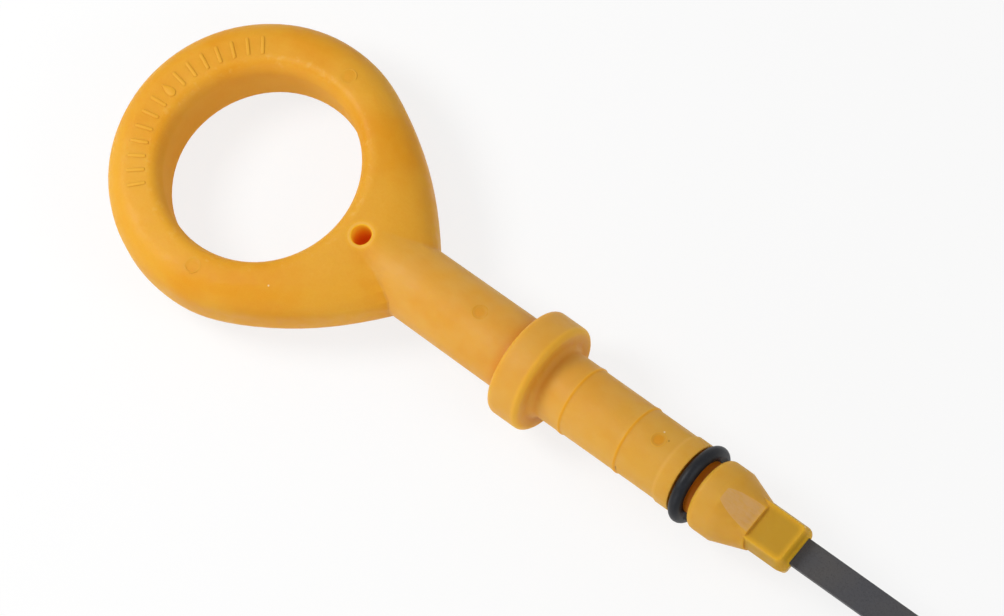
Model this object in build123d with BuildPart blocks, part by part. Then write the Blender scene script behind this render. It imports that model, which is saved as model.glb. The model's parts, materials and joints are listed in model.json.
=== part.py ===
from build123d import *
import os
from math import acos, atan2, cos, hypot, pi, radians, sin, sqrt, tan

os.makedirs("parts", exist_ok=True)

# All lengths are millimetres and all angles degrees. X runs along the stick to the blade's tip.
# The origin is the middle of the collar's blade-side face, and Z is square to the finger ring.

# Finger ring
ring_back = 50.95           # from the collar's face back to the middle of the finger hole
ring_thickness = 10.72
hole_radius = 13.65
hole_edge_width = 2.0       # the hole's edge rolls in softly from each face
hole_edge_depth = 2.6
flat_radius = 17.4          # circle that bounds the flat band on each face
flat_set_back = 1.4         # that circle's middle, behind the hole's middle
outline_radius = 21.05
outline_set_back = 0.59     # the outline's middle, behind the hole's middle
flank_radius = 52.0         # gentle curve of each flank, from the outline's circle to the shank
neck_reach = 26.3           # from the hole's middle to the corner between ring and shank
outer_edge_depth = 4.0      # height of the rounding along the outline
ring_stock = 1.5            # left inside the hole's wall until the hole is cut
section_step = 15           # turn from one section of the ring to the next
half_turn = 180

# Small moulding-pin hole where the shank leaves the ring
pin_hole_radius = 1.45
pin_hole_reach = 18.1       # from the finger hole's middle

# Shank and collar
shank_ring_radius = 5.345   # the shank widens a little from the ring to the collar
shank_collar_radius = 5.53
collar_radius = 8.14
collar_width = 5.3
collar_back_round = 0.9
collar_face_round = 0.8
collar_root_round = 0.9     # hollow between the collar's face and the plug

# Plug: three lengths with a fine bead at each mould joint, then the seal groove
plug_root_radius = 5.18
plug_step = 0.05            # fall in radius at each mould joint
joint_a_ahead = 5.35
joint_b_ahead = 14.95
bead_run = 1.0              # the bead climbs gently on the collar's side
bead_fall = 0.25            # and drops sharply at the joint
bead_rise = 0.11
land_ahead = 21.85
land_slope = 0.5
land_radius = 5.27
groove_ahead = 24.15
groove_end_ahead = 27.25
groove_floor_radius = 4.05

# Nose: a rounded head that narrows to a squared boss, with a sloped flat on each face
nose_radius = 5.38
nose_back_round = 1.0
nose_shoulder_ahead = 30.95
nose_end_ahead = 36.05
nose_end_radius = 3.6
slope_end_height = 2.9      # above the axis, at the nose's end
slope_angle = 25.2
boss_end_ahead = 42.75
boss_width = 7.3
boss_thickness = 5.0
boss_draft = 15
boss_shift = 0.22
boss_corner_round = 1.3

# Seal ring, stretched over the groove so that its inner side lies flat on the floor
seal_ahead = 25.45
seal_middle_radius = 5.0
seal_section_radius = 1.0
seal_foot = 0.55            # half the width that lies on the groove's floor

# Blade
blade_width = 4.36
blade_thickness = 1.0
blade_shift = 0.45
blade_length = 200.0        # from the boss to the tip
tang_length = 26.0          # moulded into the boss and the plug
key_back = 6.0              # from the tang's inner end to the notches that the plastic fills
key_length = 3.0
key_depth = 0.9
tip_round = 2.0
level_marks_back = (12.0, 32.0)
level_mark_width = 0.6
level_mark_depth = 0.15

# Each rounded edge is a few narrow strips, which come within a hair of the true curve
round_strips = 5

half_thickness = ring_thickness / 2
shank_back = ring_back - pin_hole_reach

# Where each flank's curve leaves the outline's circle, and the middle of that curve
neck_x = neck_reach + outline_set_back
neck_distance = hypot(neck_x, shank_ring_radius)
radius_growth = flank_radius - outline_radius
neck_lean = (flank_radius**2 - radius_growth**2 - neck_distance**2) / (2 * radius_growth * neck_distance)
flank_angle = atan2(shank_ring_radius, neck_x) + acos(neck_lean)
flank_x = -outline_set_back - radius_growth * cos(flank_angle)
flank_y = -radius_growth * sin(flank_angle)
flank_start_x = outline_radius * cos(flank_angle) - outline_set_back
flank_bearing = atan2(outline_radius * sin(flank_angle), flank_start_x)


def circle_reach(bearing, radius, middle_x, middle_y=0):
    """Distance from the hole's middle, along a bearing, to a circle round some other middle."""
    along = middle_x * cos(bearing) + middle_y * sin(bearing)
    return along + sqrt(along**2 + radius**2 - middle_x**2 - middle_y**2)


def outline_reach(bearing):
    """Distance from the hole's middle to the ring's outline."""
    turn = acos(cos(bearing))
    if turn > flank_bearing:
        return circle_reach(turn, outline_radius, -outline_set_back)
    return circle_reach(turn, flank_radius, flank_x, flank_y)


def rounded(corner, before, after):
    """Points that round off a corner, between places set off from it by two steps."""
    points = []
    for strip_edge in range(round_strips + 1):
        lean = strip_edge / round_strips * pi / 2
        points.append(Vector(corner) + Vector(before) * (1 - sin(lean)) + Vector(after) * (1 - cos(lean)))
    return points


def joint_bead(ahead, radius):
    """Points of the fine bead at a mould joint, beyond which the radius is a step smaller."""
    crest = (ahead - bead_fall, radius + bead_rise)
    return [(ahead - bead_run, radius), crest, (ahead, radius - plug_step)]


def flipped(points):
    """The same points below the middle plane, in the order that closes an outline."""
    return [Vector(point.X, -point.Y) for point in reversed(points)]


# Plan of the whole blade, tang included
tang_ahead = boss_end_ahead - tang_length
tip_ahead = boss_end_ahead + blade_length
with BuildSketch() as strip:
    with Locations((tang_ahead, blade_shift)):
        Rectangle(tang_length + blade_length, blade_width, align=(Align.MIN, Align.CENTER))
    fillet(vertices().group_by(Axis.X)[-1], tip_round)
    for side in (-1, 1):
        with Locations((tang_ahead + key_back, blade_shift + side * blade_width / 2)):
            Rectangle(key_length, 2 * key_depth, align=(Align.MIN, Align.CENTER), mode=Mode.SUBTRACT)

with BuildPart() as handle:
    # Finger ring, lofted through sections that turn about the hole's middle
    ring_middle = Vector(-ring_back, 0, 0)
    for turn in range(-section_step, half_turn + 2 * section_step, section_step):
        bearing = radians(turn)
        outward = Vector(cos(bearing), sin(bearing), 0)
        around = Vector(sin(bearing), -cos(bearing), 0)
        flat_edge = circle_reach(bearing, flat_radius, -flat_set_back)
        outer_edge = outline_reach(bearing)
        round_width = outer_edge - flat_edge
        upper = [Vector(hole_radius - ring_stock, half_thickness)]
        upper += rounded((outer_edge, half_thickness), (-round_width, 0), (0, -outer_edge_depth))
        with BuildSketch(Plane(ring_middle, x_dir=outward, z_dir=around)):
            with BuildLine():
                Polyline(*upper, *flipped(upper), close=True)
            make_face()
    loft()
    split(bisect_by=Plane.XZ, keep=Keep.BOTTOM)
    mirror(about=Plane.XZ)

    # Finger hole, turned about the ring's middle with a rounded edge at each face
    upper = [Vector(0, half_thickness)]
    upper += rounded((hole_radius, half_thickness), (hole_edge_width, 0), (0, -hole_edge_depth))
    with BuildSketch(Plane(ring_middle, x_dir=(1, 0, 0), z_dir=(0, -1, 0))):
        with BuildLine():
            Polyline(*upper, *flipped(upper), close=True)
        make_face()
    revolve(axis=Axis(ring_middle, (0, 0, 1)), mode=Mode.SUBTRACT)

    # Shank, collar, plug and nose, turned about the axis
    with BuildSketch():
        with BuildLine():
            Polyline(
                (-shank_back, 0),
                (-shank_back, shank_ring_radius),
                (-collar_width, shank_collar_radius),
                *rounded((-collar_width, collar_radius), (0, -collar_back_round), (collar_back_round, 0)),
                *rounded((0, collar_radius), (-collar_face_round, 0), (0, -collar_face_round)),
                *rounded((0, plug_root_radius), (0, collar_root_round), (collar_root_round, 0)),
                *joint_bead(joint_a_ahead, plug_root_radius),
                *joint_bead(joint_b_ahead, plug_root_radius - plug_step),
                (land_ahead - land_slope, plug_root_radius - 2 * plug_step),
                (land_ahead, land_radius),
                (groove_ahead, land_radius),
                (groove_ahead, groove_floor_radius),
                (groove_end_ahead, groove_floor_radius),
                *rounded((groove_end_ahead, nose_radius), (0, -nose_back_round), (nose_back_round, 0)),
                (nose_shoulder_ahead, nose_radius),
                (nose_end_ahead, nose_end_radius),
                (nose_end_ahead, 0),
                close=True,
            )
        make_face()
    revolve(axis=Axis.X)

    # Sloped flats on the nose
    slope_rise = nose_radius - slope_end_height
    with BuildSketch(Plane.XZ):
        with BuildLine():
            Polyline(
                (nose_end_ahead, slope_end_height),
                (nose_end_ahead, nose_radius),
                (nose_end_ahead - slope_rise / tan(radians(slope_angle)), nose_radius),
                close=True,
            )
        make_face()
        mirror(about=Plane.XZ)
    extrude(amount=nose_radius, both=True, mode=Mode.SUBTRACT)

    # Squared boss, drafted away from the mould's joint plane
    with BuildSketch():
        with Locations((nose_shoulder_ahead, boss_shift)):
            Rectangle(boss_end_ahead - nose_shoulder_ahead, boss_width, align=(Align.MIN, Align.CENTER))
        fillet(vertices().group_by(Axis.X)[-1], boss_corner_round)
    extrude(amount=boss_thickness / 2, both=True, taper=boss_draft)

    # Small moulding-pin hole
    with BuildSketch():
        with Locations((-shank_back, 0)):
            Circle(pin_hole_radius)
    extrude(amount=ring_thickness, both=True, mode=Mode.SUBTRACT)

    # Room for the blade's tang
    extrude(strip.sketch, amount=blade_thickness / 2, both=True, mode=Mode.SUBTRACT)

seal_back = seal_ahead - seal_section_radius
seal_front = seal_ahead + seal_section_radius
seal_top = seal_middle_radius + seal_section_radius
with BuildPart() as seal:
    with BuildSketch():
        with BuildLine():
            Polyline(
                (seal_ahead - seal_foot, groove_floor_radius),
                *rounded((seal_back, seal_top), (0, -seal_section_radius), (seal_section_radius, 0)),
                *rounded((seal_front, seal_top), (-seal_section_radius, 0), (0, -seal_section_radius))[1:],
                (seal_ahead + seal_foot, groove_floor_radius),
                close=True,
            )
        make_face()
    revolve(axis=Axis.X)

with BuildPart() as blade:
    extrude(strip.sketch, amount=blade_thickness / 2, both=True)
    for back in level_marks_back:
        with BuildSketch(Plane.XY.offset(blade_thickness / 2)):
            with Locations((tip_ahead - back, blade_shift)):
                Rectangle(level_mark_width, blade_width)
        extrude(amount=-level_mark_depth, mode=Mode.SUBTRACT)

handle.part.label = "handle"
seal.part.label = "seal"
blade.part.label = "blade"
export_step(handle.part, "parts/handle.step")
export_step(seal.part, "parts/seal.step")
export_step(blade.part, "parts/blade.step")
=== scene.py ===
import json
from collections import namedtuple
from math import cos, pi, radians, sin, sqrt

import bmesh
import bpy
from mathutils import Matrix, Vector


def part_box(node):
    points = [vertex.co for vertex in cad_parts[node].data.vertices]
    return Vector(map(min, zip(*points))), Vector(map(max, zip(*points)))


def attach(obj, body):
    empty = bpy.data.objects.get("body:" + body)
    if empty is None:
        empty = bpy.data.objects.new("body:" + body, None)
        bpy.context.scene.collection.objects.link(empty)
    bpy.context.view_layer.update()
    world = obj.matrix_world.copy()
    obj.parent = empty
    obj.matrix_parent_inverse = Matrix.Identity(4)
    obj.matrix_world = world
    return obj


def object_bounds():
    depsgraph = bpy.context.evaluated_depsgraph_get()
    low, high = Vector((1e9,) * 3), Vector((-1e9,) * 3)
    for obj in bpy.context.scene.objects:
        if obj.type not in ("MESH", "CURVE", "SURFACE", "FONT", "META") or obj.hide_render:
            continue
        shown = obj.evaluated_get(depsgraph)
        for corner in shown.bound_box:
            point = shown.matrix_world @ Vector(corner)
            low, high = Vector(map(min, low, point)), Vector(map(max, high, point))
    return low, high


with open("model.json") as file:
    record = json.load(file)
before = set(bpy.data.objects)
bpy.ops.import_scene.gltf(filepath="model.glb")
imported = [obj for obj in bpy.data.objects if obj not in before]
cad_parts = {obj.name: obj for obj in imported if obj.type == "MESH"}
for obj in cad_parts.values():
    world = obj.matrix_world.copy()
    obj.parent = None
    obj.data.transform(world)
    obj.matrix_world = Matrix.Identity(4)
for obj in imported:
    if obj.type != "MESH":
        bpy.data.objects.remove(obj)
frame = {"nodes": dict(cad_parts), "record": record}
cad_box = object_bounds()

# Objects are placed in metres of the part's own frame. Textures and small sizes are millimetres.
MM = 0.001
PER_MM = 1000.0

# Lengths on the handle
NECK_REACH = 26.3               # from the finger hole's middle to the corner between ring and shank
SHANK_START_RADIUS = 5.37       # of the shank where it leaves the ring
SHANK_MARK_RADIUS = 5.47        # of the shank at its ejector mark
PLUG_MARK_RADIUS = 5.08         # of the plug at its ejector mark
COLLAR_ROUND = 0.8              # of the edge of the collar's face, which lies at the origin
JOINTS = (5.35, 14.95)          # mould joints along the plug
JOINT_WIDTH = 0.35
LAND_BACK = 2.85                # from the seal's side to the slope that leads up to it
LAND_LENGTH = 1.8               # of the land beside the seal
GROOVE_RADIUS = 4.35            # under which the plastic lies in the seal's groove
NOSE_LENGTH = 5.1
BOSS_LENGTH = 6.7
SLOPE_ANGLE = radians(25.2)     # of the flats on the nose

# Places taken from the frame, in metres
mounts = {mount["name"]: mount for mount in frame["record"]["mounts"]}
ring_middle = Vector(mounts["finger_ring"]["pos_m"])
pin_middle = Vector(mounts["pin_hole"]["pos_m"])
floor_height = cad_box[0].z

# Sizes and places along the stick that follow from the frame, in millimetres
hole_radius = mounts["finger_ring"]["dims"]["r_mm"]
pin_radius = mounts["pin_hole"]["dims"]["r_mm"]
ring_top = mounts["pin_hole"]["dims"]["length_mm"] / 2
ring_along = ring_middle.x * PER_MM
pin_along = pin_middle.x * PER_MM
neck_along = ring_along + NECK_REACH
seal_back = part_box("seal")[0].x * PER_MM
seal_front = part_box("seal")[1].x * PER_MM
boss_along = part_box("handle")[1].x * PER_MM - BOSS_LENGTH
nose_along = boss_along - NOSE_LENGTH
collar_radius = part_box("handle")[1].z * PER_MM

# Photograph: its size, where the finger hole's middle shows in it, and the view of the part
PHOTO_WIDTH = 1004
PHOTO_HEIGHT = 616
HOLE_PIXEL = (266.8, 176.8)
PIXELS_PER_MM = 7.4
STICK_SLOPE = radians(35.4)     # how far the stick runs downhill to the right
VIEW_TILT = radians(21)         # the blade's end leans toward the camera
VIEW_ROLL = radians(11)
CAMERA_DISTANCE = 2.5
SENSOR = 36.0


def image_axes():
    """Directions in the part's frame that point right, up and out of the photograph."""
    along = Vector((cos(VIEW_TILT), sin(VIEW_ROLL) * sin(VIEW_TILT), -cos(VIEW_ROLL) * sin(VIEW_TILT)))
    across = Vector((0, cos(VIEW_ROLL), sin(VIEW_ROLL)))
    right = along * cos(STICK_SLOPE) + across * sin(STICK_SLOPE)
    up = across * cos(STICK_SLOPE) - along * sin(STICK_SLOPE)
    return right, up, right.cross(up)


image_right, image_up, image_out = image_axes()


def aim(obj, place, out, up):
    """Puts a camera or lamp at a place, looking against the direction out."""
    side = up.cross(out).normalized()
    rotation = Matrix((side, out.cross(side).normalized(), out.normalized())).transposed()
    obj.matrix_world = Matrix.Translation(place) @ rotation.to_4x4()


def add_camera():
    """A long lens along the photograph's line of sight, framed as the photograph is."""
    pixel = MM / PIXELS_PER_MM
    target = ring_middle.copy()
    target += image_right * (PHOTO_WIDTH / 2 - HOLE_PIXEL[0]) * pixel
    target -= image_up * (PHOTO_HEIGHT / 2 - HOLE_PIXEL[1]) * pixel
    data = bpy.data.cameras.new("camera")
    data.sensor_width = SENSOR
    data.lens = SENSOR * CAMERA_DISTANCE / (PHOTO_WIDTH * pixel)
    camera = bpy.data.objects.new("camera", data)
    bpy.context.scene.collection.objects.link(camera)
    aim(camera, target + image_out * CAMERA_DISTANCE, image_out, image_up)
    bpy.context.scene.camera = camera


# A noise: spots to the millimetre, detail, roughness, the levels between which it shows, and stretch
Pattern = namedtuple(
    "Pattern",
    ["per_mm", "detail", "roughness", "start", "end", "stretch"],
    defaults=[0.5, 0.0, 1.0, (1.0, 1.0, 1.0)],
)

# Axes along which a distance counts
FROM_ABOVE = (1.0, 1.0, 0.0)
ROUND_THE_STICK = (0.0, 1.0, 1.0)
ORIGIN = (0.0, 0.0, 0.0)

CLOSENESS_SAMPLES = 2
EDGE_SAMPLES = 4


class Shader:
    """One material's nodes, written as nested calls. Lengths are millimetres of the part's frame."""

    # Sockets of a mix node that carry colours
    MIX_FIRST = 6
    MIX_SECOND = 7
    MIX_RESULT = 2

    def __init__(self, name):
        self.material = bpy.data.materials.new(name)
        self.material.use_nodes = True
        self.tree = self.material.node_tree
        self.tree.nodes.clear()
        metres = self.add("ShaderNodeTexCoord").outputs["Object"]
        self.place = self.vector("SCALE", metres, Scale=PER_MM)

    def add(self, kind, inputs=(), **settings):
        """A node with its settings, and its inputs as values or other nodes' outputs."""
        node = self.tree.nodes.new(kind)
        for name, value in settings.items():
            setattr(node, name, value)
        for name, value in dict(inputs).items():
            if isinstance(value, bpy.types.NodeSocket):
                self.tree.links.new(value, node.inputs[name])
            else:
                node.inputs[name].default_value = value
        return node

    def math(self, operation, first, second=0.0):
        return self.add("ShaderNodeMath", {0: first, 1: second}, operation=operation).outputs[0]

    def times(self, *factors):
        result = factors[0]
        for factor in factors[1:]:
            result = self.math("MULTIPLY", result, factor)
        return result

    def ramp(self, value, start, end, low=0.0, high=1.0):
        """Runs smoothly from low to high as the value goes from start to end."""
        inputs = {"Value": value, "From Min": start, "From Max": end, "To Min": low, "To Max": high}
        return self.add("ShaderNodeMapRange", inputs, interpolation_type="SMOOTHSTEP").outputs["Result"]

    def ramp_past(self, value, base, offsets, low=0.0, high=1.0):
        """Runs smoothly from low to high between two offsets past a base."""
        return self.ramp(value, base + offsets[0], base + offsets[1], low, high)

    def band(self, value, start, end, soft):
        """One between start and end, and zero outside, with soft edges."""
        rise = self.ramp(value, start - soft, start + soft)
        fall = self.ramp(value, end - soft, end + soft, 1.0, 0.0)
        return self.times(rise, fall)

    def mix(self, share, first, second):
        """A blend of two colours, each a plain colour or another node's output."""
        node = self.add("ShaderNodeMix", {"Factor": share}, data_type="RGBA")
        for index, colour in ((self.MIX_FIRST, first), (self.MIX_SECOND, second)):
            if isinstance(colour, bpy.types.NodeSocket):
                self.tree.links.new(colour, node.inputs[index])
            else:
                node.inputs[index].default_value = (*colour, 1.0)
        return node.outputs[self.MIX_RESULT]

    def vector(self, operation, first, second=ORIGIN, **inputs):
        inputs = {0: first, 1: second, **inputs}
        return self.add("ShaderNodeVectorMath", inputs, operation=operation).outputs["Vector"]

    def dot(self, first, second):
        node = self.add("ShaderNodeVectorMath", {0: first, 1: second}, operation="DOT_PRODUCT")
        return node.outputs["Value"]

    def distance(self, middle, axes):
        """Distance from a middle, counted along each axis by its own measure."""
        offset = self.vector("MULTIPLY", self.vector("SUBTRACT", self.place, middle), axes)
        return self.add("ShaderNodeVectorMath", {0: offset}, operation="LENGTH").outputs["Value"]

    def noise(self, pattern):
        inputs = {
            "Vector": self.vector("MULTIPLY", self.place, pattern.stretch),
            "Scale": pattern.per_mm,
            "Detail": pattern.detail,
            "Roughness": pattern.roughness,
        }
        return self.add("ShaderNodeTexNoise", inputs).outputs["Fac"]

    def patches(self, pattern, low=0.0, high=1.0):
        """A noise that runs from low to high between the levels where it shows."""
        return self.ramp(self.noise(pattern), pattern.start, pattern.end, low, high)

    def closeness(self, reach, inside=False):
        """How far the surface is shut in by what lies within reach, or is close to an edge."""
        node = self.add("ShaderNodeAmbientOcclusion", {"Distance": reach * MM}, samples=CLOSENESS_SAMPLES)
        node.inside = inside
        node.only_local = True
        return self.math("SUBTRACT", 1.0, node.outputs["AO"])

    def bump(self, height, depth=1.0, normal=None):
        inputs = {"Height": height, "Distance": depth * MM, "Strength": 1.0}
        if normal is not None:
            inputs["Normal"] = normal
        return self.add("ShaderNodeBump", inputs).outputs["Normal"]

    def finish(self, surface):
        self.add("ShaderNodeOutputMaterial", {"Surface": surface.outputs[0]})
        return self.material


# Moulded plastic of the handle: its colours, from deep to pale, and those that paint sheen, glow, shade and
# highlights onto it, beside its own olive tone and wear
PLASTIC = (0.75, 0.345, 0.009)
PLASTIC_PALE = (0.78, 0.400, 0.036)
PLASTIC_DEEP = (0.73, 0.295, 0.004)
PLASTIC_PAINTED_LIGHT = (0.77, 0.420, 0.085)
PLASTIC_EDGE_GLOW = (0.86, 0.470, 0.020)
PLASTIC_OLIVE_AND_SHADE = (0.53, 0.290, 0.008)
PLASTIC_CREASE_SHADE = (0.62, 0.165, 0.001)
PLASTIC_HOT_GLOW = (0.80, 0.140, 0.001)
PLASTIC_SCUFF_AND_SHEEN = (0.70, 0.400, 0.140)
PLASTIC_WORN_AND_HIGHLIGHT = (0.80, 0.455, 0.090)

# Its cloudy ground
BLOTCHES = Pattern(0.07, 3.0, 0.55, 0.36, 0.64)
MOTTLE = Pattern(0.6, 4.0, 0.6, 0.3, 0.7)
FINE_SPOTS = Pattern(3.0, 3.0, 0.7, 0.35, 0.65)
GROUND_SHARE = 0.3
MOTTLE_SHARE = 0.25
FINE_SHARE = 0.18

# Its satin surface
SATIN_ROUGHNESS = (0.46, 0.60)
PLASTIC_IOR = 1.45
PLASTIC_GLOSS = 0.27
SCATTER_SHARES = (1.0, 0.8, 0.3)
SCATTER_REACH = 1.0


class Plastic(Shader):
    """Plastic with a cloudy ground, which further layers tint, roughen and light."""

    def __init__(self, name):
        super().__init__(name)
        axes = self.add("ShaderNodeSeparateXYZ", {0: self.place}).outputs
        self.along = axes["X"]
        self.height = axes["Z"]
        self.upper_side = self.math("GREATER_THAN", self.height, 0.0)
        self.axis_distance = self.distance(ORIGIN, ROUND_THE_STICK)
        mottle = self.patches(MOTTLE)
        self.colour = self.mix(self.patches(BLOTCHES), PLASTIC_DEEP, PLASTIC_PALE)
        self.tint(GROUND_SHARE, PLASTIC)
        self.tint(self.times(mottle, MOTTLE_SHARE), PLASTIC_PALE)
        self.tint(self.patches(FINE_SPOTS, 0.0, FINE_SHARE), PLASTIC_DEEP)
        self.roughness = self.ramp(mottle, 0.0, 1.0, *SATIN_ROUGHNESS)
        self.glow = 0.0

    def tint(self, share, colour):
        self.colour = self.mix(share, self.colour, colour)

    def roughen(self, roughness):
        self.roughness = self.math("MAXIMUM", self.roughness, roughness)

    def light(self, share, strength):
        """Paints a little glow into the plastic, as if light came through it."""
        self.glow = self.math("ADD", self.glow, self.times(share, strength))

    def satin(self, normal, translucency=0.0):
        surface = self.add(
            "ShaderNodeBsdfPrincipled",
            {
                "Base Color": self.colour,
                "Roughness": self.roughness,
                "IOR": PLASTIC_IOR,
                "Specular IOR Level": PLASTIC_GLOSS,
                "Subsurface Weight": translucency,
                "Subsurface Radius": SCATTER_SHARES,
                "Subsurface Scale": SCATTER_REACH * MM,
                "Emission Color": self.colour,
                "Emission Strength": self.glow,
                "Normal": normal,
            },
        )
        return self.finish(surface)


# Painted sheen: the shank and plug are tinted paler than the ring, in clouds, from the crease where the
# shank leaves it
SHEEN_CLOUDS = Pattern(0.22, 2.0, 0.5, 0.33, 0.67)
SHEEN_SHARES = (0.40, 0.66)
SHEEN_RISE = (1.0, 6.0)          # past the pin hole's middle
CREASE_FADE = (0.05, 0.3)       # past the shank's radius
NECK_FADE = (0.0, 1.0)          # past the neck
DEEP_CLOUDS = Pattern(0.45, 2.0, 0.5, 0.42, 0.70, (0.6, 1.0, 1.0))
DEEP_SHARE = 0.16


def paint_shank_sheen(plastic):
    on_shank = plastic.ramp_past(plastic.axis_distance, SHANK_START_RADIUS, CREASE_FADE, 1.0, 0.0)
    past_ring = plastic.ramp_past(plastic.along, neck_along, NECK_FADE)
    shank = plastic.times(
        plastic.ramp_past(plastic.along, pin_along, SHEEN_RISE),
        plastic.math("MAXIMUM", on_shank, past_ring),
    )
    plastic.tint(plastic.times(shank, plastic.patches(SHEEN_CLOUDS, *SHEEN_SHARES)), PLASTIC_PAINTED_LIGHT)
    plastic.tint(plastic.times(shank, plastic.patches(DEEP_CLOUDS, 0.0, DEEP_SHARE)), PLASTIC_DEEP)


# Partly painted shade: the plug turns a darker olive toward its end, where less light falls, and the thin
# boss turns olive most, as its own tone
PLUG_OLIVE_SHADE_SHARE = 0.3
BOSS_OLIVE_SHARE = 0.8
BOSS_EDGE = (-0.1, 0.2)         # past the boss's start


def olive_and_shade_end(plastic):
    plastic.tint(plastic.ramp(plastic.along, 0.0, boss_along, 0.0, PLUG_OLIVE_SHADE_SHARE), PLASTIC_OLIVE_AND_SHADE)
    boss = plastic.ramp_past(plastic.along, boss_along, BOSS_EDGE)
    plastic.tint(plastic.times(boss, BOSS_OLIVE_SHARE), PLASTIC_OLIVE_AND_SHADE)


# Each sloped flat on the nose is painted pale: a painted sheen of the light it faces, broken up by
# scratches
SLOPE_NORMAL = (sin(SLOPE_ANGLE), 0.0, cos(SLOPE_ANGLE))
SLOPE_MATCH = (0.980, 0.995)    # cosine of the angle to that direction
NOSE_SOFT = 0.05
SCRATCHES = Pattern(1.2, 4.0, 0.65, 0.35, 0.65, (0.5, 2.0, 1.0))
SCUFF_SHEEN_LEAST = 0.55


def scuff_and_sheen_flats(plastic):
    facing = plastic.add("ShaderNodeNewGeometry").outputs["True Normal"]
    either_side = plastic.vector("ABSOLUTE", facing)
    slope = plastic.ramp(plastic.dot(either_side, SLOPE_NORMAL), *SLOPE_MATCH)
    nose = plastic.band(plastic.along, nose_along, boss_along, NOSE_SOFT)
    plastic.tint(plastic.times(slope, nose, plastic.patches(SCRATCHES, SCUFF_SHEEN_LEAST)), PLASTIC_SCUFF_AND_SHEEN)


# The finger hole's wall is dull, tinted milky pale and given a glow as painted light, and its edge is
# rubbed paler in patches, partly wear and partly a painted highlight
HOLE_WALL = (0.1, 1.2)          # past the hole's radius
HOLE_LIGHT_SHARE = 0.25
HOLE_ROUGHNESS = 0.8
HOLE_GLOW = 0.03
WORN_GLINT_PATCHES = Pattern(0.9, 5.0, 0.65, 0.52, 0.72)
WORN_GLINT_SHARE = 0.55
WORN_GLINT_BAND = (0.6, 2.2)        # past the hole's radius
WORN_GLINT_SOFT = 0.5


def rub_and_light_hole(plastic):
    away = plastic.distance(ring_middle * PER_MM, FROM_ABOVE)
    wall = plastic.ramp_past(away, hole_radius, HOLE_WALL, 1.0, 0.0)
    plastic.tint(plastic.times(wall, HOLE_LIGHT_SHARE), PLASTIC_PAINTED_LIGHT)
    plastic.roughen(plastic.times(wall, HOLE_ROUGHNESS))
    plastic.light(wall, HOLE_GLOW)
    edge = plastic.band(away, hole_radius + WORN_GLINT_BAND[0], hole_radius + WORN_GLINT_BAND[1], WORN_GLINT_SOFT)
    plastic.tint(plastic.times(edge, plastic.patches(WORN_GLINT_PATCHES, 0.0, WORN_GLINT_SHARE)), PLASTIC_WORN_AND_HIGHLIGHT)


# Painted glow and highlight: thin edges and the collar's front edge are tinted yellow and made to glow, as
# if light came through them, but hardly the land beside the seal
EDGE_REACH = 1.0
EDGE_CLOSENESS = (0.06, 0.3)
EDGE_SHARE = 0.85
EDGE_GLOW = 0.09
LAND_EDGE_SHARE = 0.1
LAND_SOFT = 0.4
COLLAR_EDGE_SHARE = 0.35
COLLAR_EDGE_RISE = (-1.5 * COLLAR_ROUND, -0.5 * COLLAR_ROUND)   # past the collar's radius
COLLAR_EDGE_SOFT = 0.3


def paint_edge_glow(plastic):
    land = plastic.band(plastic.along, seal_back - LAND_LENGTH, seal_front, LAND_SOFT)
    edge = plastic.ramp(plastic.closeness(EDGE_REACH, inside=True), *EDGE_CLOSENESS)
    edge = plastic.times(edge, plastic.ramp(land, 0.0, 1.0, EDGE_SHARE, LAND_EDGE_SHARE))
    rim = plastic.ramp_past(plastic.axis_distance, collar_radius, COLLAR_EDGE_RISE, 0.0, COLLAR_EDGE_SHARE)
    collar_edge = plastic.times(plastic.band(plastic.along, -COLLAR_ROUND, 0.0, COLLAR_EDGE_SOFT), rim)
    edge = plastic.math("MAXIMUM", edge, collar_edge)
    plastic.tint(edge, PLASTIC_EDGE_GLOW)
    plastic.light(edge, EDGE_GLOW)


# Painted highlight: the slope that leads up to the land is tinted pale; the mould joints show as clear
# lines, with a painted glow that lifts their shade
LAND_SLOPE_HALF = 0.25
LAND_SLOPE_SHARE = 0.5
JOINT_SOFT = 0.1
JOINT_SHARE = 0.8
JOINT_GLOW = 0.10


def light_joints_and_slope(plastic):
    middle = seal_back - LAND_BACK
    slope = plastic.band(plastic.along, middle - LAND_SLOPE_HALF, middle + LAND_SLOPE_HALF, LAND_SLOPE_HALF)
    plastic.tint(plastic.times(slope, LAND_SLOPE_SHARE), PLASTIC_WORN_AND_HIGHLIGHT)
    for ahead in JOINTS:
        line = plastic.band(plastic.along, ahead - JOINT_WIDTH, ahead, JOINT_SOFT)
        plastic.tint(plastic.times(line, JOINT_SHARE), PLASTIC)
        plastic.light(line, JOINT_GLOW)


# Painted shade: hollows turn a deep orange, less so by the boss, and the seal's groove is as deep
HOLLOW_REACH = 2.2
HOLLOW_CLOSENESS = (0.08, 0.65)
HOLLOW_SHARES = (0.85, 0.3)     # behind the nose, and at the boss
GROOVE_ENDS = (0.5, 1.1)        # behind the seal, and ahead of it
GROOVE_SOFT = 0.3
GROOVE_FADE = (0.0, 0.5)        # past the groove's radius


def paint_hollow_shade(plastic):
    hollow = plastic.ramp(plastic.closeness(HOLLOW_REACH), *HOLLOW_CLOSENESS)
    share = plastic.ramp(plastic.along, nose_along, boss_along, *HOLLOW_SHARES)
    plastic.tint(plastic.times(hollow, share), PLASTIC_CREASE_SHADE)
    groove = plastic.times(
        plastic.band(plastic.along, seal_back - GROOVE_ENDS[0], seal_front + GROOVE_ENDS[1], GROOVE_SOFT),
        plastic.ramp_past(plastic.axis_distance, GROOVE_RADIUS, GROOVE_FADE, 1.0, 0.0),
    )
    plastic.tint(groove, PLASTIC_CREASE_SHADE)


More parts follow.
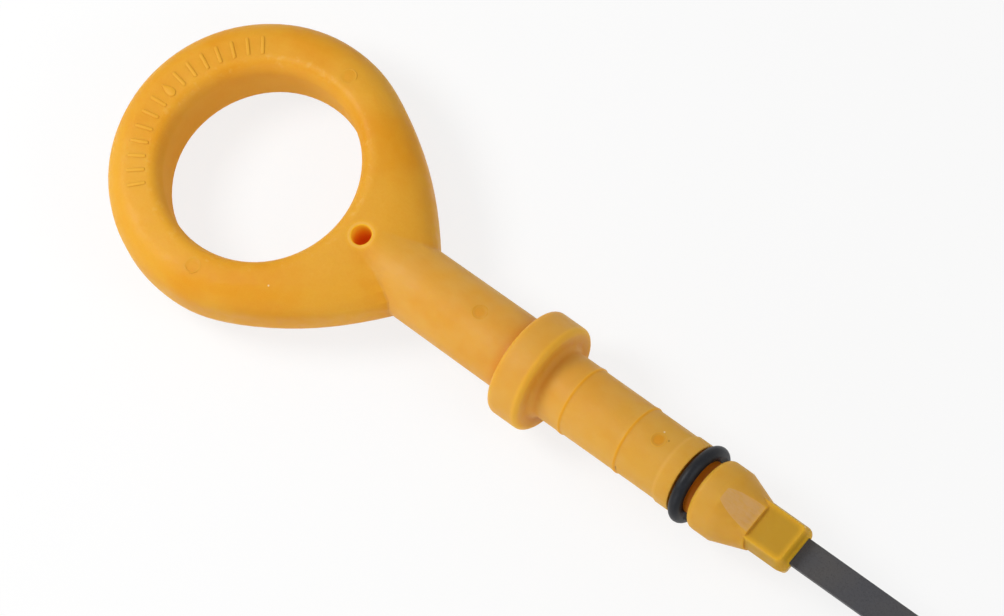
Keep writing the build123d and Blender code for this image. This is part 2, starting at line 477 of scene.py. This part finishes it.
# Painted glow: the pin hole's wall is tinted hot orange at its middle and made to glow, as if light came
# through to it, and its rim is painted pale as a highlight
PIN_WALL = (0.02, 0.12)         # past the pin hole's radius
PIN_GLOW = 0.12
PIN_RIM = (0.12, 0.45)          # past the pin hole's radius
PIN_RIM_SOFT = 0.1
PIN_RIM_SHARE = 0.6


def light_pin_hole(plastic):
    away = plastic.distance(pin_middle * PER_MM, FROM_ABOVE)
    wall = plastic.ramp_past(away, pin_radius, PIN_WALL, 1.0, 0.0)
    depth = plastic.ramp(plastic.math("ABSOLUTE", plastic.height), 0.0, ring_top, 1.0, 0.0)
    plastic.tint(wall, plastic.mix(depth, PLASTIC_EDGE_GLOW, PLASTIC_HOT_GLOW))
    plastic.roughen(wall)
    plastic.light(wall, PIN_GLOW)
    rim = plastic.band(away, pin_radius + PIN_RIM[0], pin_radius + PIN_RIM[1], PIN_RIM_SOFT)
    plastic.tint(plastic.times(rim, PIN_RIM_SHARE), PLASTIC_WORN_AND_HIGHLIGHT)


# Round marks of the mould's ejector pins: two on the ring, one on the shank and one on the plug.
# Each has its place along and across the stick, how plainly it shows, and the shaft's radius under it.
Ejector = namedtuple("Ejector", ["along", "across", "strength", "shaft_radius"])
EJECTOR_RADIUS = 1.05
EJECTOR_REACH = 16.9
EJECTOR_BEARING = radians(83)
EJECTOR_ALONG = ring_along + EJECTOR_REACH * cos(EJECTOR_BEARING)
EJECTOR_ACROSS = EJECTOR_REACH * sin(EJECTOR_BEARING)
EJECTORS = (
    Ejector(EJECTOR_ALONG, EJECTOR_ACROSS, 0.4, None),
    Ejector(EJECTOR_ALONG, -EJECTOR_ACROSS, 0.4, None),
    Ejector(-12.5, 0.8, 0.7, SHANK_MARK_RADIUS),
    Ejector(18.8, 0.85, 1.0, PLUG_MARK_RADIUS),
)
DIMPLE_FLOOR = 0.5 * EJECTOR_RADIUS
DIMPLE_EDGE = 1.1 * EJECTOR_RADIUS
DIMPLE_SHADE_SHARE = 0.8


def shade_dimples(plastic):
    """Paints shade into the shallow dimples that the pins left in the upper side, and says where they are.
    """
    dimples = 0.0
    for mark in EJECTORS:
        away = plastic.distance((mark.along, mark.across, 0.0), FROM_ABOVE)
        dimple = plastic.ramp(away, DIMPLE_FLOOR, DIMPLE_EDGE, mark.strength, 0.0)
        dimples = plastic.math("ADD", dimples, plastic.times(dimple, plastic.upper_side))
    plastic.tint(plastic.times(dimples, DIMPLE_SHADE_SHARE), PLASTIC_DEEP)
    return dimples


# A few specks of dust and dirt, by their places along and across the stick
Speck = namedtuple("Speck", ["along", "across", "colour"])
DUST = (0.88, 0.75, 0.45)
DIRT = (0.36, 0.17, 0.02)
SPECKS = (
    Speck(-38.6, -13.0, DUST),
    Speck(18.6, 2.2, DUST),
    Speck(-33.5, 14.5, DUST),
    Speck(20.0, 1.5, DIRT),
    Speck(15.1, -4.95, DIRT),
)
SPECK_RADIUS = 0.15
SPECK_CORE = 0.6 * SPECK_RADIUS
SPECK_SHARE = 0.8


def scatter_specks(plastic):
    for speck in SPECKS:
        away = plastic.distance((speck.along, speck.across, 0.0), FROM_ABOVE)
        spot = plastic.ramp(away, SPECK_CORE, SPECK_RADIUS, SPECK_SHARE, 0.0)
        plastic.tint(plastic.times(spot, plastic.upper_side), speck.colour)


# The skin has soft edges, gentle waves and a fine grain, and faint turning lines along the shaft
SOFT_EDGE = 0.3
WAVES = Pattern(0.3, 2.0)
WAVE_DEPTH = 0.12
DIMPLE_DEPTH = 0.12
GRAIN = Pattern(2.2, 5.0, 0.6)
GRAIN_DEPTH = 0.016
TURNING_LINES = Pattern(1.0, 3.0, 0.6, stretch=(5.0, 0.35, 0.35))
TURNING_SHARE = 0.35
SHAFT_SOFT = 1.0


def handle_skin(plastic, dimples):
    """Directions that the uneven surface faces."""
    rounded = plastic.add("ShaderNodeBevel", {"Radius": SOFT_EDGE * MM}, samples=EDGE_SAMPLES)
    waves = plastic.times(plastic.noise(WAVES), WAVE_DEPTH)
    waves = plastic.math("SUBTRACT", waves, plastic.times(dimples, DIMPLE_DEPTH))
    normal = plastic.bump(waves, normal=rounded.outputs["Normal"])
    shaft = plastic.band(plastic.along, neck_along, nose_along, SHAFT_SOFT)
    lines = plastic.times(plastic.noise(TURNING_LINES), shaft, TURNING_SHARE)
    return plastic.bump(plastic.math("ADD", plastic.noise(GRAIN), lines), GRAIN_DEPTH, normal)


HANDLE_TRANSLUCENCY = 0.5


def handle_material():
    plastic = Plastic("moulded_plastic")
    paint_shank_sheen(plastic)
    olive_and_shade_end(plastic)
    scuff_and_sheen_flats(plastic)
    rub_and_light_hole(plastic)
    paint_edge_glow(plastic)
    light_joints_and_slope(plastic)
    paint_hollow_shade(plastic)
    light_pin_hole(plastic)
    dimples = shade_dimples(plastic)
    scatter_specks(plastic)
    return plastic.satin(handle_skin(plastic, dimples), HANDLE_TRANSLUCENCY)


# The raised marks are a little paler than the face that they stand on
MARK_PALE_SHARE = 0.3
MARK_GRAIN_DEPTH = 0.014


def mark_material():
    plastic = Plastic("raised_plastic")
    plastic.tint(MARK_PALE_SHARE, PLASTIC_PALE)
    return plastic.satin(plastic.bump(plastic.noise(GRAIN), MARK_GRAIN_DEPTH))


# Rubber of the seal ring, dusty in patches
RUBBER = (0.005, 0.006, 0.009)
RUBBER_DUSTY = (0.013, 0.015, 0.020)
RUBBER_DUST = Pattern(1.4, 5.0, 0.65, 0.45, 0.75)
RUBBER_ROUGHNESS = (0.42, 0.58)
RUBBER_IOR = 1.45
RUBBER_GLOSS = 0.25
RUBBER_GRAIN = Pattern(5.0, 3.0)
RUBBER_GRAIN_DEPTH = 0.006


def rubber_material():
    shader = Shader("seal_rubber")
    dust = shader.patches(RUBBER_DUST)
    surface = shader.add(
        "ShaderNodeBsdfPrincipled",
        {
            "Base Color": shader.mix(dust, RUBBER, RUBBER_DUSTY),
            "Roughness": shader.ramp(dust, 0.0, 1.0, *RUBBER_ROUGHNESS),
            "IOR": RUBBER_IOR,
            "Specular IOR Level": RUBBER_GLOSS,
            "Normal": shader.bump(shader.noise(RUBBER_GRAIN), RUBBER_GRAIN_DEPTH),
        },
    )
    return shader.finish(surface)


# Dulled steel of the blade, with a brown tint in places, speckles and fine pits
STEEL = (0.046, 0.046, 0.053)
STEEL_BROWN = (0.058, 0.054, 0.053)
STEEL_PITTED = (0.028, 0.026, 0.027)
STEEL_TINT = Pattern(0.12, 3.0, 0.5, 0.35, 0.65)
STEEL_SPECKLES = Pattern(3.0, 4.0, 0.7, 0.4, 0.7)
SPECKLE_SHARE = 0.3
STEEL_PITS = Pattern(5.0, 3.0, 0.7, 0.5, 0.7)
PIT_SHARE = 0.7
STEEL_GRAIN = Pattern(4.0, 5.0, 0.7, 0.3, 0.7, (0.35, 1.0, 1.0))
STEEL_GRAIN_DEPTH = 0.012
STEEL_ROUGHNESS = (0.5, 0.65)
STEEL_METALLIC = 0.3


def steel_material():
    shader = Shader("dull_steel")
    colour = shader.mix(shader.patches(STEEL_TINT), STEEL, STEEL_BROWN)
    colour = shader.mix(shader.patches(STEEL_SPECKLES, 0.0, SPECKLE_SHARE), colour, STEEL_BROWN)
    colour = shader.mix(shader.patches(STEEL_PITS, 0.0, PIT_SHARE), colour, STEEL_PITTED)
    surface = shader.add(
        "ShaderNodeBsdfPrincipled",
        {
            "Base Color": colour,
            "Roughness": shader.patches(STEEL_GRAIN, *STEEL_ROUGHNESS),
            "Metallic": STEEL_METALLIC,
            "Normal": shader.bump(shader.noise(STEEL_GRAIN), STEEL_GRAIN_DEPTH),
        },
    )
    return shader.finish(surface)


# Shading of the frame's pieces
EDGE_ANGLE = radians(30)        # smallest angle between facets that shows as an edge
FLAT_FACE_LEAD = 80             # how far large faces hold their own shading against small neighbours
MERGE_DISTANCE = 0.002


def smooth_group():
    """Modifier nodes that join the facets of neighbouring faces and keep only true edges sharp."""
    group = bpy.data.node_groups.new("smooth_facets", "GeometryNodeTree")
    for direction in ("INPUT", "OUTPUT"):
        group.interface.new_socket("Geometry", in_out=direction, socket_type="NodeSocketGeometry")
    source = group.nodes.new("NodeGroupInput")
    bare = group.nodes.new("GeometryNodeRemoveAttribute")
    bare.inputs["Name"].default_value = "custom_normal"
    merge = group.nodes.new("GeometryNodeMergeByDistance")
    merge.inputs["Distance"].default_value = MERGE_DISTANCE * MM
    smooth = group.nodes.new("GeometryNodeSetShadeSmooth")
    sharp = group.nodes.new("GeometryNodeSetShadeSmooth")
    sharp.domain = "EDGE"
    sharp.inputs["Shade Smooth"].default_value = False
    angle = group.nodes.new("GeometryNodeInputMeshEdgeAngle")
    wide = group.nodes.new("FunctionNodeCompare")
    wide.inputs[1].default_value = EDGE_ANGLE
    result = group.nodes.new("NodeGroupOutput")
    chain = [source, bare, merge, smooth, sharp, result]
    for before, after in zip(chain, chain[1:]):
        group.links.new(before.outputs[0], after.inputs[0])
    group.links.new(angle.outputs["Unsigned Angle"], wide.inputs[0])
    group.links.new(wide.outputs[0], sharp.inputs["Selection"])
    return group


def finish_nodes(materials):
    """Gives each piece of the frame its material and smooth shading."""
    group = smooth_group()
    for name, material in materials.items():
        node = frame["nodes"][name]
        node.material_slots[0].material = material
        node.modifiers.new("smooth_facets", "NODES").node_group = group
        weighted = node.modifiers.new("flat_faces_lead", "WEIGHTED_NORMAL")
        weighted.keep_sharp = True
        weighted.weight = FLAT_FACE_LEAD


# Raised mark on the ring's far end: a drop between two rows of plain ribs. Spreads and steps are degrees.
MARK_BEARING = 177
MARK_HALF_SPREAD = 49
DROP_HALF_SPREAD = 6
RIB_STEP = 7
RIB_HALF_WIDTH = 0.26
RIB_INNER = hole_radius + 2.35
RIB_OUTER = hole_radius + 4.45
DROP_HALF_WIDTH = 0.85
DROP_HALF_LENGTH = 1.25
DROP_TAPER = 1.3
OUTLINE_POINTS = 32
# Inset of the outline and height above the face, from the foot to the top
MARK_STEPS = ((0.0, -0.05), (0.0, 0.05), (0.05, 0.11), (0.13, 0.14))


def rib_outline(bearing, inset):
    """Points of a rounded bar that lies along a bearing from the hole's middle."""
    outward = Vector((cos(bearing), sin(bearing), 0))
    across = Vector((-sin(bearing), cos(bearing), 0))
    points = []
    for index in range(OUTLINE_POINTS):
        turn = 2 * pi * index / OUTLINE_POINTS
        middle = RIB_OUTER if cos(turn) >= 0 else RIB_INNER
        round_end = (outward * cos(turn) + across * sin(turn)) * (RIB_HALF_WIDTH - inset)
        points.append(outward * middle + round_end)
    return points


def drop_outline(bearing, inset):
    """Points of a drop whose tip looks outward along a bearing."""
    outward = Vector((cos(bearing), sin(bearing), 0))
    across = Vector((-sin(bearing), cos(bearing), 0))
    middle = outward * (RIB_INNER + RIB_OUTER) / 2
    shrink = 1 - inset / DROP_HALF_WIDTH
    points = []
    for index in range(OUTLINE_POINTS):
        turn = 2 * pi * index / OUTLINE_POINTS
        width = DROP_HALF_WIDTH * sin(turn) * abs(sin(turn / 2)) ** DROP_TAPER
        points.append(middle + (outward * cos(turn) * DROP_HALF_LENGTH + across * width) * shrink)
    return points


def join_rings(mesh, rings, closed=False):
    """Faces between each ring of points and the next."""
    following = rings[1:] + rings[:1] if closed else rings[1:]
    for lower, upper in zip(rings, following):
        for index in range(len(lower)):
            after = (index + 1) % len(lower)
            mesh.faces.new((lower[index], lower[after], upper[after], upper[index]))


def raise_pad(mesh, outline, bearing):
    """Builds a low pad with softened edges on the ring's upper face."""
    rings = []
    for inset, height in MARK_STEPS:
        ring = []
        for point in outline(bearing, inset):
            ring.append(mesh.verts.new(ring_middle + (point + Vector((0, 0, ring_top + height))) * MM))
        rings.append(ring)
    join_rings(mesh, rings)
    mesh.faces.new(rings[-1])
    mesh.faces.new(list(reversed(rings[0])))


# Each ejector mark has a fine bead round it, sunk into the face
BEAD_RADIUS = 0.10
BEAD_SINK = 0.08
BEAD_POINTS = 48
BEAD_SECTION_POINTS = 8


def add_bead(mesh, mark):
    """A fine bead in a circle on the ring's upper face, or on top of the shaft."""
    rings = []
    for index in range(BEAD_POINTS):
        turn = 2 * pi * index / BEAD_POINTS
        ring = []
        for section_index in range(BEAD_SECTION_POINTS):
            lean = 2 * pi * section_index / BEAD_SECTION_POINTS
            reach = EJECTOR_RADIUS + BEAD_RADIUS * cos(lean)
            along = mark.along + reach * cos(turn)
            across = mark.across + reach * sin(turn)
            face = sqrt(mark.shaft_radius**2 - across**2) if mark.shaft_radius else ring_top
            rise = BEAD_RADIUS * sin(lean) - BEAD_SINK
            ring.append(mesh.verts.new(Vector((along, across, face + rise)) * MM))
        rings.append(ring)
    join_rings(mesh, rings, closed=True)


def add_piece(name, mesh, material):
    """Turns built faces into a piece that rides with the part."""
    bmesh.ops.recalc_face_normals(mesh, faces=mesh.faces)
    for face in mesh.faces:
        face.smooth = True
    data = bpy.data.meshes.new(name)
    mesh.to_mesh(data)
    mesh.free()
    data.materials.append(material)
    piece = bpy.data.objects.new(name, data)
    bpy.context.scene.collection.objects.link(piece)
    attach(piece, "root")


def add_marks(material):
    marks = bmesh.new()
    raise_pad(marks, drop_outline, radians(MARK_BEARING))
    for offset in range(-MARK_HALF_SPREAD, MARK_HALF_SPREAD + 1, RIB_STEP):
        if abs(offset) > DROP_HALF_SPREAD:
            raise_pad(marks, rib_outline, radians(MARK_BEARING + offset))
    add_piece("ring_mark", marks, material)
    beads = bmesh.new()
    for mark in EJECTORS:
        add_bead(beads, mark)
    add_piece("ejector_marks", beads, material)


# Studio: metres and watts, but for the shadow's fade in millimetres
WHITE = (1.0, 1.0, 1.0, 1.0)
FLOOR_WHITE = (0.93, 0.93, 0.93, 1.0)
FLOOR_SIZE = 30.0
SHADOW_SHARE = 0.2              # of the floor's look beside the part, which fades to plain white
SHADOW_FADE = (70.0, 200.0)
SHADOW_MEASURE = (0.45, 1.0, 0.0)   # the shadow reaches further along the stick than across it
AMBIENT = 0.40

# Each lamp lights a place along the stick, from a direction as right, up and out of the photograph
Lamp = namedtuple("Lamp", ["name", "along", "direction", "distance", "size", "power"])
LAMPS = (
    Lamp("key", ring_middle.x, (-0.66, 0.36, 0.66), 0.22, 0.10, 0.305),
    Lamp("side", ring_middle.x / 3, (-0.56, -0.72, 0.42), 0.25, 0.12, 0.11),
    Lamp("front", ring_middle.x, (0.60, -0.16, 0.78), 0.35, 0.16, 0.185),
)


def seen_or_mirrored(tree):
    """One for rays from the camera and for those that a surface mirrors or lets through."""
    path = tree.nodes.new("ShaderNodeLightPath")
    result = path.outputs["Is Camera Ray"]
    for kind in ("Is Glossy Ray", "Is Transmission Ray"):
        larger = tree.nodes.new("ShaderNodeMath")
        larger.operation = "MAXIMUM"
        tree.links.new(result, larger.inputs[0])
        tree.links.new(path.outputs[kind], larger.inputs[1])
        result = larger.outputs[0]
    return result


def floor_material():
    """White, with the part's shadow on it near the part."""
    shader = Shader("studio_floor")
    matte = shader.add("ShaderNodeBsdfDiffuse", {"Color": FLOOR_WHITE})
    glow = shader.add("ShaderNodeEmission", {"Color": WHITE, "Strength": 1.0})
    away = shader.distance((cad_box[0] + cad_box[1]) / 2 * PER_MM, SHADOW_MEASURE)
    glowing = shader.ramp(away, *SHADOW_FADE, 1.0 - SHADOW_SHARE, 1.0)
    share = shader.times(seen_or_mirrored(shader.tree), glowing)
    return shader.finish(
        shader.add("ShaderNodeMixShader", {0: share, 1: matte.outputs[0], 2: glow.outputs[0]})
    )


def add_floor():
    mesh = bpy.data.meshes.new("floor")
    half = FLOOR_SIZE / 2
    corners = [(-half, -half), (half, -half), (half, half), (-half, half)]
    mesh.from_pydata([(x, y, floor_height) for x, y in corners], [], [(0, 1, 2, 3)])
    mesh.materials.append(floor_material())
    floor = bpy.data.objects.new("floor", mesh)
    bpy.context.scene.collection.objects.link(floor)


def add_world():
    """Plain white all round, which lights the part more dimly than it looks."""
    world = bpy.data.worlds.new("studio")
    bpy.context.scene.world = world
    world.use_nodes = True
    tree = world.node_tree
    background = tree.nodes["Background"]
    background.inputs["Color"].default_value = WHITE
    strength = tree.nodes.new("ShaderNodeMapRange")
    strength.inputs["To Min"].default_value = AMBIENT
    tree.links.new(seen_or_mirrored(tree), strength.inputs["Value"])
    tree.links.new(strength.outputs["Result"], background.inputs["Strength"])


def add_lamps():
    for lamp in LAMPS:
        data = bpy.data.lights.new(lamp.name, "AREA")
        data.shape = "DISK"
        data.size = lamp.size
        data.energy = lamp.power
        obj = bpy.data.objects.new(lamp.name, data)
        bpy.context.scene.collection.objects.link(obj)
        right, up, out = lamp.direction
        toward = (image_right * right + image_up * up + image_out * out).normalized()
        aim(obj, Vector((lamp.along, 0, 0)) + toward * lamp.distance, toward, image_up)


add_camera()
finish_nodes({"handle": handle_material(), "seal": rubber_material(), "blade": steel_material()})
add_marks(mark_material())
add_floor()
add_world()
add_lamps()
bpy.context.scene.view_settings.view_transform = "Standard"
